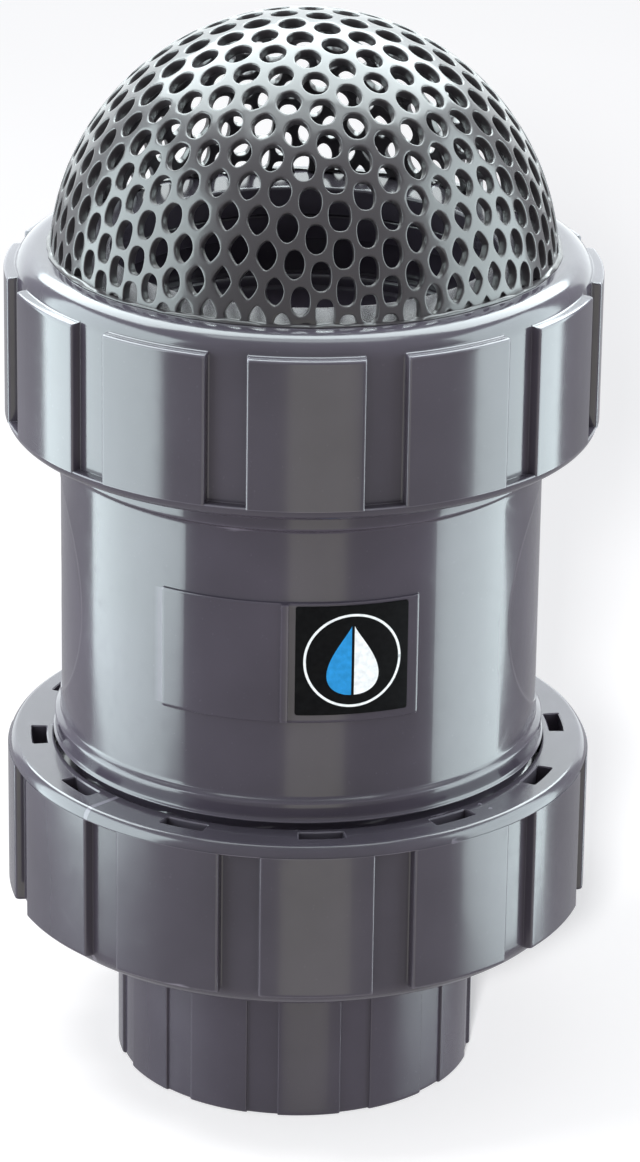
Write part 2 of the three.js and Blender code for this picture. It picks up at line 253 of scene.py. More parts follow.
def make(name, verts, faces, material, body, replaces=(), sharp=38, weld=0.0):
    """A smooth-shaded piece from millimetre vertices, riding on a body."""
    mesh = bpy.data.meshes.new(name)
    verts = np.asarray(verts, float).reshape(-1, 3) * MM
    mesh.from_pydata(verts.tolist(), [], [list(face) for face in faces])
    work = bmesh.new()
    work.from_mesh(mesh)
    if weld:
        bmesh.ops.remove_doubles(work, verts=work.verts, dist=weld * MM)
    bmesh.ops.recalc_face_normals(work, faces=work.faces)
    work.to_mesh(mesh)
    work.free()
    mesh.shade_smooth()
    mesh.set_sharp_from_angle(angle=math.radians(sharp))
    mesh.materials.append(material)
    piece = bpy.data.objects.new(name, mesh)
    bpy.context.collection.objects.link(piece)
    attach(piece, body)
    if replaces:
        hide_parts(*replaces)
    return piece


def thread(bearings, z, start):
    """Height, from 0 to 1, of a right-hand ridge that starts on +X at start and climbs."""
    height = np.zeros(np.broadcast(bearings, z).shape)
    first = ((np.asarray(bearings) - 90) % 360) / 360
    for turn in range(int(THREAD_TURNS)):
        climbed = first + turn
        across = np.abs(z - start - THREAD_PITCH * climbed)
        flank = np.clip(THREAD_REACH - across, 0, 1)
        run = np.clip(np.minimum(climbed, THREAD_TURNS - climbed) / THREAD_RUN_OUT, 0, 1)
        height = np.maximum(height, flank * flank * (3 - 2 * flank) * run)
    return height


def nut_section(turn):
    """A union nut with its open face at z = 0, as a Turning."""
    per_mm = math.degrees(1 / NUT_R)
    pocket_half = math.degrees(POCKET_WIDTH / 2 / POCKET_OUT_R)
    sector = sorted_columns(
        [-15, -14, -12.6, 12.6, 14],
        knots(-NUT_PANEL_HALF, NUT_PANEL_HALF, EDGE_T * per_mm),
        np.linspace(-NUT_PANEL_HALF + 1.4, NUT_PANEL_HALF - 1.4, 13),
        knots(POCKET_SHIFT - pocket_half, POCKET_SHIFT + pocket_half, CUT_T * per_mm),
    )
    columns = np.concatenate([turn + sector + i * NUT_SECTOR for i in range(NUT_PANELS)])
    local = within(columns - turn, NUT_SECTOR)
    panel = plateau(local / per_mm, -NUT_PANEL_HALF / per_mm, NUT_PANEL_HALF / per_mm)
    pocket = plateau(
        (local - POCKET_SHIFT) / per_mm, -pocket_half / per_mm, pocket_half / per_mm, CUT_T, CUT_V
    )
    nut = Turning(columns)
    # open end: a small edge, the brow, then a wide fillet that ends on the rim
    rim_r = NUT_GROOVE_R + (NUT_R - NUT_GROOVE_R) * NUT_RIM_SHARE
    turn_in = math.radians(NUT_BROW_TURN)
    brow_r = rim_r - NUT_FILLET + (NUT_FILLET - NUT_BROW) * math.cos(turn_in)
    for angle in np.radians([90, 78, 66, NUT_BROW_TURN]):
        nut.row(brow_r + NUT_BROW * math.cos(angle), NUT_BROW - NUT_BROW * math.sin(angle))
    rim_low = NUT_BROW - NUT_BROW * math.sin(turn_in)
    for angle in np.radians([45, 35, 25, 15, 7]):
        drop = NUT_FILLET * (math.sin(turn_in) - math.sin(angle))
        nut.row(rim_r - NUT_FILLET + NUT_FILLET * math.cos(angle), rim_low + drop)
    shoulder_z = NUT_HEIGHT - NUT_SHOULDER
    heights = np.concatenate([
        NUT_RIM + 0.35 - EDGE_T[-2::-1] * 0.6,
        np.linspace(NUT_RIM + 1.2, NUT_PANEL_TOP - 1.2, 9),
        NUT_PANEL_TOP - EDGE_T[::-1],
    ])
    for z in heights:
        base = NUT_GROOVE_R
        if z > shoulder_z:
            base = NUT_GROOVE_R - NUT_SHOULDER + math.sqrt(NUT_SHOULDER**2 - (z - shoulder_z) ** 2)
        on_rim = NUT_RIM_SHARE * np.interp(NUT_RIM + 0.35 - z, EDGE_T * 0.6, EDGE_V)
        on_panel = panel * np.interp(NUT_PANEL_TOP - z, EDGE_T, EDGE_V)
        nut.row(base + (NUT_R - base) * np.maximum(on_rim, on_panel), z)
    above_panels = math.degrees(math.asin((NUT_PANEL_TOP + 0.6 - shoulder_z) / NUT_SHOULDER))
    nut.arc(NUT_GROOVE_R - NUT_SHOULDER, shoulder_z, NUT_SHOULDER, above_panels, 90, 9)
    for r in (51, 47, 43, NUT_HOLE_R + 1.2):
        nut.row(r, NUT_HEIGHT)
    nut.arc(NUT_HOLE_R + 0.6, NUT_HEIGHT - 0.6, 0.6, 90, 180)
    nut.row(NUT_HOLE_R, NUT_HEIGHT - NUT_LIP / 2)
    lip = NUT_HEIGHT - NUT_LIP
    nut.arc(NUT_HOLE_R + 0.5, lip + 0.5, 0.5, 180, 270)
    for r in (42, 47):
        nut.row(r, lip)
    nut.arc(NUT_ROOT_R - 0.4, lip - 0.4, 0.4, 90, 0)
    for z in np.arange(lip - 0.9, NUT_RIM + 0.2, -THREAD_ROWS):
        nut.row(NUT_ROOT_R - (NUT_ROOT_R - NUT_CREST_R) * thread(columns, z, NUT_THREAD_START), z)
    nut.row(NUT_ROOT_R, 2.2)
    nut.row(NUT_MOUTH_R, 1.4)
    nut.row(NUT_MOUTH_R, 0.6)
    nut.arc(NUT_MOUTH_R + 0.25, 0.3, 0.25, 180, 270, 3)
    # open face: a very slight dish, cut by the pockets
    radii = np.concatenate([[51.7], knots(POCKET_IN_R, POCKET_OUT_R, CUT_T), [54.0, 57.0, brow_r - 0.25]])
    for r in np.sort(radii):
        dish = 0.05 * (brow_r - r) / (brow_r - NUT_MOUTH_R)
        depth = POCKET_DEPTH * pocket * plateau(r, POCKET_IN_R, POCKET_OUT_R, CUT_T, CUT_V)
        nut.row(r, dish + depth)
    return nut


def union_nuts(material):
    verts, faces = nut_section(UPPER_NUT_TURN).mesh()
    make("inlet_union_nut_moulding", verts + [0, 0, UPPER_NUT_Z], faces.reshape(-1, 4), material,
         "inlet_nut", ["inlet_union_nut"])
    verts, faces = nut_section(-LOWER_NUT_TURN).mesh()
    verts = verts * [1, -1, -1] + [0, 0, LOWER_NUT_TOP]
    make("outlet_union_nut_moulding", verts, faces.reshape(-1, 4), material, "outlet_nut",
         ["outlet_union_nut"])


def rib_inner_radius(z):
    """How far in the guide ribs reach at a height; the foot follows the ball's 45-degree tangent."""
    ball_z = (low("check_ball") + high("check_ball")) / 2
    ball_r = (high("check_ball") - low("check_ball")) / 2
    tangent = ball_z - math.sqrt(2) * (ball_r + 0.3)
    return np.clip(z - tangent, STOP_R, RIB_R)


def body_columns():
    per_mm = math.degrees(1 / BARREL_R)
    groups = [np.arange(-180, 180, 3.0)]
    groups.append(knots(PAD_FROM, PAD_TO, EDGE_T * per_mm))
    groups.append(knots(DIVIDER_FROM, DIVIDER_TO, CUT_T * per_mm))
    for at in RIB_BEARINGS:
        groups.append([within(at, 360) + t * per_mm for t in rib_offsets()])
    for at in MARK_BEARINGS:
        groups.append(np.linspace(at - MARK_SPAN, at + MARK_SPAN, 41))
    return sorted_columns(*groups, spacing=0.02)


def rib_offsets():
    half = RIB_WIDTH / 2
    return np.array([-half - 0.6, -half - 0.25, -half - 0.05, -half + 0.05, -half + 0.3, -half + 0.6, 0,
                     half - 0.6, half - 0.3, half - 0.05, half + 0.05, half + 0.25, half + 0.6])


def body_section(columns):
    body = Turning(columns)
    per_mm = math.degrees(1 / BARREL_R)
    # lower end face with the face ring's groove
    body.arc(BORE_R + 0.5, BODY_LOW + 0.5, 0.5, 180, 270)
    groove = [
        (35.3, 0), (35.42, 0.12), (35.45, 2.6), (35.7, 2.9),
        (38.5, 2.9), (38.75, 2.6), (38.78, 0.12), (38.9, 0),
    ]
    for r, z in [(31, 0)] + groove + [(44, 0), (47.2, 0), (47.5, 0.04)]:
        body.row(r, BODY_LOW + z)
    body.row(BODY_ROOT_R - 0.06, BODY_LOW + 0.75)
    for z in np.arange(BODY_LOW + 1.0, MID_Z - COLLAR_END - 1.3, THREAD_ROWS):
        mirrored = 2 * MID_Z - z
        ridge = thread(180 - columns, mirrored, BODY_THREAD_START)
        body.row(BODY_ROOT_R + (BODY_CREST_R - BODY_ROOT_R) * ridge, z)
    # a collar: radius and distance from the body's middle, from its end bead in to the barrel
    collar = [
        (BODY_ROOT_R, COLLAR_END + 1.05), (BODY_ROOT_R + 0.3, COLLAR_END + 0.9),
        (50.4, COLLAR_END + 0.24), (50.8, COLLAR_END + 0.08), (50.97, COLLAR_END - 0.08),
        (COLLAR_R, COLLAR_END - 0.2), (50.93, COLLAR_END - 0.32), (50.66, COLLAR_END - 0.52),
        (50.55, COLLAR_END - 0.68), (50.52, COLLAR_END - 0.9), (50.52, COLLAR_END - 1.6),
        (50.6, COLLAR_END - 3.0), (50.64, COLLAR_HALF + 0.95), (50.6, COLLAR_HALF + 0.72),
        (50.46, COLLAR_HALF + 0.55), (49.98, COLLAR_HALF + 0.17), (49.62, COLLAR_HALF - 0.11),
        (49.53, COLLAR_HALF - 0.22), (BARREL_R, COLLAR_HALF - 0.4), (BARREL_R, COLLAR_HALF - 0.9),
    ]
    for r, dz in collar:
        body.row(r, MID_Z - dz)
    # barrel with the nameplate pad
    across = plateau(columns / per_mm, PAD_FROM / per_mm, PAD_TO / per_mm)
    divider = plateau(columns / per_mm, DIVIDER_FROM / per_mm, DIVIDER_TO / per_mm, CUT_T, CUT_V)
    heights = sorted_columns(
        np.linspace(MID_Z - 27.0, MID_Z + 27.0, 35),
        knots(PAD_LOW, PAD_HIGH),
        knots(PAD_LOW + 0.2, PAD_HIGH - 0.2, CUT_T),
    )
    first = len(body.rows)
    for z in heights:
        pad = PAD_RISE * across * plateau(z, PAD_LOW, PAD_HIGH)
        ridge = 0.6 * divider * plateau(z, PAD_LOW + 0.2, PAD_HIGH - 0.2, CUT_T, CUT_V)
        body.row(BARREL_R + pad + ridge, z)
    last = len(body.rows) - 1
    for r, dz in reversed(collar):
        body.row(r, MID_Z + dz)
    for z in np.arange(MID_Z + COLLAR_END + 1.4, BODY_HIGH - 0.9, THREAD_ROWS):
        ridge = thread(columns, z, BODY_THREAD_START)
        body.row(BODY_ROOT_R + (BODY_CREST_R - BODY_ROOT_R) * ridge, z)
    body.row(BODY_ROOT_R - 0.06, BODY_HIGH - 0.75)
    body.row(47.5, BODY_HIGH - 0.04)
    body.row(46, BODY_HIGH)
    body.arc(RECESS_R + 0.5, BODY_HIGH - 0.5, 0.5, 90, 180)
    body.row(RECESS_R, 158)
    body.row(RECESS_R, 151)
    body.arc(RECESS_R - 0.4, SEAT_LEDGE + 0.4, 0.4, 0, -90)
    body.row(41.6, SEAT_LEDGE)
    body.arc(CHAMBER_R + 0.4, SEAT_LEDGE - 0.4, 0.4, 90, 180)
    # chamber wall with the guide ribs
    centre = np.zeros(len(columns))
    offset = np.full(len(columns), 99.0)
    for at in RIB_BEARINGS:
        gap = within(columns - at, 360)
        near = np.abs(gap) < np.abs(offset)
        centre = np.where(near, at, centre)
        offset = np.where(near, gap, offset)
    shift = offset / per_mm
    rib = plateau(shift, -RIB_WIDTH / 2, RIB_WIDTH / 2, np.array([-0.06, -0.04, 0.06, 0.32, 0.6]),
                  np.array([0.0, 0.0, 0.93, 1.0, 1.0]))
    on_rib = np.abs(shift) < RIB_WIDTH / 2 + 0.06
    top = SEAT_LEDGE - 4
    levels = sorted_columns(
        [144.5, top + 0.6, top + 0.05],
        np.linspace(top - 0.05, top - 2, 4),
        np.linspace(top - 5, 94, 12),
        np.linspace(92, RIB_FOOT_Z + 0.6, 17),
        [CHAMBER_LOW, RIB_FOOT_Z + 0.08, RIB_FOOT_Z - 0.08, RIB_FOOT_Z - 0.8],
        np.linspace(64, CONE_LOW + 0.8, 5),
    )
    for z in levels[::-1]:
        wall = CHAMBER_R
        if z < CHAMBER_LOW:
            wall = BORE_R + (CHAMBER_R - BORE_R) * (z - CONE_LOW) / (CHAMBER_LOW - CONE_LOW)
        reach = wall
        if RIB_FOOT_Z <= z < top:
            reach = float(rib_inner_radius(z))
            if z > top - 2:
                reach = CHAMBER_R - (CHAMBER_R - RIB_R) * (top - z) / 2
        r = wall + (reach - wall) * rib
        turned = np.degrees(np.arcsin(np.clip(shift / r, -0.99, 0.99)))
        placed = np.where(on_rib, centre + turned, columns)
        body.row(r, z, placed)
    body.arc(BORE_R + 1.5, CONE_LOW - 0.5, 1.5, 140, 180, 3)
    body.row(BORE_R, BODY_LOW + 4)
    return body, heights, first, last


def mould_mark(verts, faces, columns, heights, first, last, at):
    """Puts a shallow round recess into the barrel between two rows of the grid."""
    index = np.arange(verts.shape[0] * verts.shape[1]).reshape(verts.shape[:2])
    c0 = int(np.argmin(np.abs(columns - (at - MARK_SPAN))))
    c1 = int(np.argmin(np.abs(columns - (at + MARK_SPAN))))
    faces[first:last, c0:c1] = -1
    loop = [(first, c) for c in range(c0, c1)]
    loop += [(r, c1) for r in range(first, last)]
    loop += [(last, c) for c in range(c1, c0, -1)]
    loop += [(r, c0) for r in range(last, first, -1)]
    u = np.array([math.radians(columns[c] - at) * BARREL_R for _, c in loop])
    v = np.array([heights[r - first] - MID_Z for r, _ in loop])
    angle = np.arctan2(v, u)
    rings = [
        (MARK_R + 1.2, 0), (MARK_R + 0.4, 0), (MARK_R + 0.08, 0.02), (MARK_R, 0.09),
        (MARK_R - 0.05, MARK_DEPTH - 0.04), (MARK_R - 0.2, MARK_DEPTH),
    ]
    rings += [(radius, MARK_DEPTH) for radius in (24.2, 21, 17, 12, 7, 2.5)]
    new_verts = []
    new_faces = []
    before = [int(index[cell]) for cell in loop]
    base = 0
    for radius, depth in rings:
        bearing = np.radians(at) + radius * np.cos(angle) / BARREL_R
        r = BARREL_R - depth
        z = MID_Z + radius * np.sin(angle)
        new_verts.append(np.stack([r * np.sin(bearing), -r * np.cos(bearing), z], -1))
        now = [("new", base + i) for i in range(len(loop))]
        for i in range(len(loop)):
            j = (i + 1) % len(loop)
            new_faces.append((before[i], before[j], now[j], now[i]))
        before = now
        base += len(loop)
    r = BARREL_R - MARK_DEPTH
    hub = np.array([[r * math.sin(math.radians(at)), -r * math.cos(math.radians(at)), MID_Z]])
    new_verts.append(hub)
    for i in range(len(loop)):
        new_faces.append((before[i], before[(i + 1) % len(loop)], ("new", base)))
    return np.concatenate(new_verts), new_faces


def valve_body(material):
    columns = body_columns()
    body, heights, first, last = body_section(columns)
    verts, faces = body.mesh()
    extra_verts = []
    extra_faces = []
    total = verts.shape[0] * verts.shape[1]
    for at in MARK_BEARINGS:
        more, polygons = mould_mark(verts, faces, columns, heights, first, last, at)
        for polygon in polygons:
            extra_faces.append([total + i[1] if isinstance(i, tuple) else i for i in polygon])
        extra_verts.append(more)
        total += len(more)
    kept = [face for face in faces.reshape(-1, 4).tolist() if face[0] >= 0]
    verts = np.concatenate([verts.reshape(-1, 3), *extra_verts])
    make("valve_body_moulding", verts, kept + extra_faces, material, "valve_body", ["valve_body"])


def end_connector(material):
    per_mm = math.degrees(1 / HUB_R)
    step = EDGE_T * per_mm * 0.6
    sector = sorted_columns(
        [-15, -13, 13],
        knots(-HUB_PANEL_HALF, HUB_PANEL_HALF, step),
        np.linspace(-HUB_PANEL_HALF + 1.6, HUB_PANEL_HALF - 1.6, 9),
    )
    columns = np.concatenate([HUB_PANEL_TURN + sector + i * HUB_SECTOR for i in range(HUB_PANELS)])
    local = within(columns - HUB_PANEL_TURN, HUB_SECTOR)
    panel = plateau(local, -HUB_PANEL_HALF, HUB_PANEL_HALF, step, EDGE_V)
    hub = Turning(columns)
    hub.arc(SOCKET_R + 1.2, 0.3, 0.3, 200, 270, 3)
    for angle in np.radians(np.linspace(-90, 0, 6)):
        foot_r = HUB_R - HUB_GROOVE * (1 - panel) - HUB_FOOT
        hub.row(foot_r + HUB_FOOT * math.cos(angle), HUB_FOOT + HUB_FOOT * math.sin(angle))
    for z in np.concatenate([np.linspace(1, 32, 9), HUB_PANEL_TOP - EDGE_T[::-1]]):
        depth = np.interp(HUB_PANEL_TOP - z, EDGE_T, EDGE_V)
        hub.row(HUB_R - HUB_GROOVE * depth * (1 - panel), z)
    hub.row(HUB_R, FLANGE_LOW - 1.2)
    hub.arc(HUB_R + 0.8, FLANGE_LOW - 0.8, 0.8, 180, 90, 4)
    hub.arc(FLANGE_R - 0.4, FLANGE_LOW + 0.4, 0.4, -90, 0, 3)
    hub.arc(FLANGE_R - 0.4, FLANGE_HIGH - 0.4, 0.4, 0, 90, 3)
    hub.row(42, FLANGE_HIGH)
    hub.row(34, FLANGE_HIGH)
    hub.arc(BORE_R + 0.5, FLANGE_HIGH - 0.5, 0.5, 90, 180)
    hub.arc(BORE_R + 0.4, SOCKET_DEPTH + 0.4, 0.4, 180, 270, 3)
    hub.arc(SOCKET_R - 0.7, SOCKET_DEPTH - 0.4, 0.4, 90, 0, 3)
    hub.line(SOCKET_R - 0.25, 30, SOCKET_R, 2, 4)
    verts, faces = hub.mesh()
    make("end_connector_moulding", verts, faces.reshape(-1, 4), material, "end_connector",
         ["end_connector"])


def plain_turning(outline, steps=144):
    """Closed outline of (r, z, corner radius) turned round the axis, its corners rounded."""
    part = Turning(np.arange(steps) * 360 / steps)
    count = len(outline)
    for i, (r, z, fillet) in enumerate(outline):
        here = np.array([r, z])
        back = np.array(outline[i - 1][:2]) - here
        ahead = np.array(outline[(i + 1) % count][:2]) - here
        back /= np.linalg.norm(back)
        ahead /= np.linalg.norm(ahead)
        if fillet == 0:
            part.row(r, z)
            continue
        half = math.acos(np.clip(np.dot(back, ahead), -1, 1)) / 2
        run = fillet / math.tan(half)
        centre = here + (back + ahead) / np.linalg.norm(back + ahead) * fillet / math.sin(half)
        start = here + back * run - centre
        end = here + ahead * run - centre
        a0 = math.atan2(start[1], start[0])
        turn = math.atan2(end[1], end[0]) - a0
        turn = (turn + math.pi) % (2 * math.pi) - math.pi
        for k in range(5):
            angle = a0 + turn * k / 4
            part.row(centre[0] + fillet * math.cos(angle), centre[1] + fillet * math.sin(angle))
    return part


def ring_piece(name, outline, material, body, replaced):
    verts, faces = plain_turning(outline).mesh()
    make(name, verts, faces.reshape(-1, 4), material, body, [replaced])


def o_ring(name, node, material, body):
    """A moulded ring with a fine flash line on its outer side."""
    z = (low(node) + high(node)) / 2
    section = (high(node) - low(node)) / 2 * 1.1
    major = high(node, 0) - (high(node) - low(node)) / 2
    part = Turning(np.arange(180) * 2.0)
    for k in range(20):
        angle = 2 * math.pi * k / 20
        flash = 0.04 if k == 0 else 0.0
        part.row(major + (section + flash) * math.cos(angle), z + section * math.sin(angle))
    verts, faces = part.mesh()
    make(name, verts, faces.reshape(-1, 4), material, body, [node])


def seat_retainer(material):
    z0 = low("seat_retainer")
    z1 = high("seat_retainer")
    per_mm = math.degrees(1 / 36)
    half = RETAINER_LUG_HALF
    groups = [np.arange(0, 360, 2.5)]
    for at in RETAINER_LUG_BEARINGS:
        groups.append(knots(at - half * per_mm, at + half * per_mm, EDGE_T * per_mm))
    columns = sorted_columns(*groups)
    lug = sum(plateau((columns - at) / per_mm, -half, half) for at in RETAINER_LUG_BEARINGS)
    part = Turning(columns)
    outer = high("seat_retainer", 0)
    inner = RETAINER_RIM_R
    outline = [
        (27.4, z0), (36, z0), (outer - 0.3, z0), (outer, z0 + 0.3),
        (outer, z0 + 1.6), (outer - 0.2, z0 + 1.8),
        (outer - 2.2, z0 + 1.85), (outer - 2.3, z0 + 2), (outer - 2.3, z0 + 4.6), (outer - 2.2, z0 + 4.75),
        (outer - 0.2, z0 + 4.8), (outer, z0 + 5), (outer, z1 - 0.4), (outer - 0.3, z1),
        (inner + 2, z1), (inner + 1, z1), (inner + 0.58, z1 - 0.09), (inner + 0.27, z1 - 0.27),
        (inner + 0.09, z1 - 0.56),
    ]
    for r, z in outline:
        part.row(r, z)
    part.row(inner - 0.02, z1 - 0.85 - 0.6 * (1 - lug))
    # the cone inside, which the lugs stand on
    cone_r = 30
    radii = [inner - 0.1, inner - 0.6, 37, 35, 33]
    radii += [RETAINER_LUG_R + t for t in (0.6, 0.35, 0.17, 0.05, 0, -0.05, -0.25, -0.8)]
    radii += [cone_r, 28.6, 27.4]
    for r in radii:
        if r > cone_r:
            cone = z0 + 2.4 + (z1 - 2.2 - z0 - 2.4) * (r - cone_r) / (inner - cone_r)
        else:
            cone = z0 + 1.2 + 1.2 * (r - RETAINER_BORE_R) / (cone_r - RETAINER_BORE_R)
        reach = np.interp(r - RETAINER_LUG_R, EDGE_T, EDGE_V)
        part.row(r, cone + (z1 - 0.8 - cone) * lug * reach)
    part.row(RETAINER_BORE_R + 0.05, z0 + 1.0)
    part.row(RETAINER_BORE_R, z0 + 0.4)
    verts, faces = part.mesh()
    make("seat_retainer_moulding", verts, faces.reshape(-1, 4), material, "valve_body",
         ["seat_retainer"])


def check_ball(material):
    """Moulded ball with the trace of its parting line and a trimmed gate."""
    centre = (low("check_ball") + high("check_ball")) / 2
    radius = (high("check_ball") - low("check_ball")) / 2 - 0.02
    work = bmesh.new()
    bmesh.ops.create_icosphere(work, subdivisions=6, radius=1.0)
    verts = np.array([v.co[:] for v in work.verts])
    faces = [[v.index for v in f.verts] for f in work.faces]
    work.free()
    seam = 0.05 * np.exp(-((verts[:, 2] * radius / 0.45) ** 2))
    gate = -0.25 * np.clip(1 - np.hypot(verts[:, 0], verts[:, 2]) * radius / 2.2, 0, 1) ** 0.5
    bumps = seam + np.where(verts[:, 1] < 0, gate, 0) - 0.05
    verts = verts * (radius + bumps)[:, None] + [0, 0, centre]
    make("check_ball_moulding", verts, faces, material, "check_ball", ["check_ball"])


def dome_point(polar, bearing, depth):
    """A point in the domed sheet, depth below its outer face."""
    rise = DOME_TOP - DOME_CENTRE
    r = (DOME_R - depth) * np.sin(polar)
    z = DOME_CENTRE + (rise - depth) * np.cos(polar)
    return np.stack([r * np.sin(bearing), -r * np.cos(bearing), z], axis=-1)


def screen_dome(material):
    """Perforated sheet formed into a dome: holes on a flat triangular grid, stretched by the forming."""
    generator = np.random.default_rng(7)
    around = 24
    turn = math.radians(HOLE_ROW_TURN)
    step_a = HOLE_PITCH * np.array([math.cos(turn), math.sin(turn)])
    step_b = HOLE_PITCH * np.array([math.cos(turn + math.pi / 3), math.sin(turn + math.pi / 3)])
    limit = DOME_R * math.radians(92)
    cell = HOLE_PITCH / math.sqrt(3)
    # a cell's outline: corners and even points between them
    outline = []
    per_side = around // 6
    for k in range(6):
        a = turn + math.pi / 6 + k * math.pi / 3
        start = cell * np.array([math.cos(a), math.sin(a)])
        end = cell * np.array([math.cos(a + math.pi / 3), math.sin(a + math.pi / 3)])
        for i in range(per_side):
            outline.append(start + (end - start) * i / per_side)
    outline = np.array(outline)
    angles = np.arctan2(outline[:, 1], outline[:, 0])
    # ring by ring: share of the way from hole to cell edge, growth of the hole, depth in the sheet
    rings = [
        (1.0, 0, 0.0), (0.55, 0, 0.0), (0.0, 0.32, 0.0), (0.0, 0.16, 0.04), (0.0, 0.05, 0.14),
        (0.0, 0.0, 0.32), (0.0, 0.0, 1.55), (0.0, 0.08, 1.85), (0.0, 0.3, DOME_SHEET), (1.0, 0, DOME_SHEET),
    ]
    verts = []
    faces = []
    reach = int(limit / HOLE_PITCH * 1.3) + 2
    for i in range(-reach, reach + 1):
        for j in range(-reach, reach + 1):
            centre = i * step_a + j * step_b + HOLE_ORIGIN
            distance = math.hypot(*centre)
            if distance > limit + HOLE_PITCH:
                continue
            outward = centre / max(distance, 1e-6)
            polar = min(distance / DOME_R, 1.55)
            stretch = math.sin(polar) / max(polar, 1e-6)
            bearing = math.degrees(math.atan2(centre[0], -centre[1]))
            row_angle = math.radians(6 * (bearing - 90 - HOLE_ROW_TURN))
            power = 2 + 2.6 * (1 - stretch) * math.cos(row_angle)
            size = 1 + generator.uniform(-HOLE_SPREAD, HOLE_SPREAD)
            long_half = HOLE_LONG / 2 * size * (1 - 0.06 * (1 - min(1, polar)))
            wide_half = HOLE_WIDE / 2 * size
            start = len(verts)
            for share, grow, depth in rings:
                radial = np.cos(angles - math.atan2(outward[1], outward[0]))
                across = np.sin(angles - math.atan2(outward[1], outward[0]))
                length = (np.abs(radial / (long_half + grow)) ** power
                          + np.abs(across / (wide_half + grow)) ** power) ** (-1 / power)
                hole = np.stack([np.cos(angles), np.sin(angles)], -1) * length[:, None]
                flat = centre + hole + (outline - hole) * share
                rho = np.hypot(flat[:, 0], flat[:, 1])
                verts.extend(dome_point(rho / DOME_R, np.arctan2(flat[:, 0], -flat[:, 1]), depth))
            for ring in range(len(rings) - 1):
                for k in range(around):
                    a = start + ring * around + k
                    b = start + ring * around + (k + 1) % around
                    faces.append((a, b, b + around, a + around))
    work = bmesh.new()
    mesh = bpy.data.meshes.new("sheet")
    mesh.from_pydata([(v * MM).tolist() for v in verts], [], faces)
    work.from_mesh(mesh)
    bmesh.ops.remove_doubles(work, verts=work.verts, dist=0.02 * MM)
    cut = bmesh.ops.bisect_plane(
        work, geom=work.verts[:] + work.edges[:] + work.faces[:], dist=1e-7,
        plane_co=(0, 0, DOME_BASE * MM), plane_no=(0, 0, 1), clear_inner=True,
    )
    edges = [item for item in cut["geom_cut"] if isinstance(item, bmesh.types.BMEdge)]
    bmesh.ops.holes_fill(work, edges=edges, sides=0)
    bmesh.ops.recalc_face_normals(work, faces=work.faces)
    verts = np.array([v.co[:] for v in work.verts]) / MM
    faces = [[v.index for v in f.verts] for f in work.faces]
    work.free()
    make("screen_dome_sheet", verts, faces, material, "inlet_nut", ["screen_dome"], sharp=45)


def weld_bead(material):
    """The uneven line of solvent cement where the dome stands on the nut."""
    columns = np.arange(0, 360, 0.75)
    generator = np.random.default_rng(11)
    wave = np.zeros(len(columns))
    other = np.zeros(len(columns))
    for cycles in (5, 9, 14, 23, 31, 47, 61):
        wave += np.sin(np.radians(cycles * columns) + generator.uniform(0, 6.3)) / cycles**0.5
        other += np.sin(np.radians((cycles + 2) * columns) + generator.uniform(0, 6.3)) / cycles**0.5
    wave = wave / np.abs(wave).max()
    other = other / np.abs(other).max()
    floor = UPPER_NUT_Z + NUT_HEIGHT + 0.02
    part = Turning(columns)
    out = DOME_R + 0.55 + 0.4 * wave
    top = floor + 0.55 + 0.35 * other
    for r, z in [(DOME_R - 0.9, floor), (out - 0.1, floor), (out, floor + 0.1), (out - 0.08, floor + 0.26),
                 (DOME_R + 0.15 + 0.1 * wave, top - 0.1), (DOME_R - 0.15, top), (DOME_R - 0.9, top - 0.1)]:
        part.row(r, z)
    verts, faces = part.mesh()
    make("dome_cement_bead", verts, faces.reshape(-1, 4), material, "inlet_nut")


def slab(u, v, r0, r1, at, level):
    """A thin curved solid on the nameplate: u and v are millimetres across and up from its centre."""
    def skin(r):
        bearing = math.radians(at) + u / r
        return np.stack([r * np.sin(bearing), -r * np.cos(bearing), level + v], -1).reshape(-1, 3)
    rows, cols = u.shape
    index = np.arange(rows * cols).reshape(rows, cols)
    quads = np.stack([index[:-1, :-1], index[:-1, 1:], index[1:, 1:], index[1:, :-1]], -1).reshape(-1, 4)
    faces = quads.tolist() + (quads + rows * cols)[:, ::-1].tolist()
    edge = list(index[0, :]) + list(index[1:, -1]) + list(index[-1, -2::-1]) + list(index[-2:0:-1, 0])
    for i, here in enumerate(edge):
        after = edge[(i + 1) % len(edge)]
        faces.append([here, after, after + rows * cols, here + rows * cols])
    return np.concatenate([skin(r1), skin(r0)]), faces


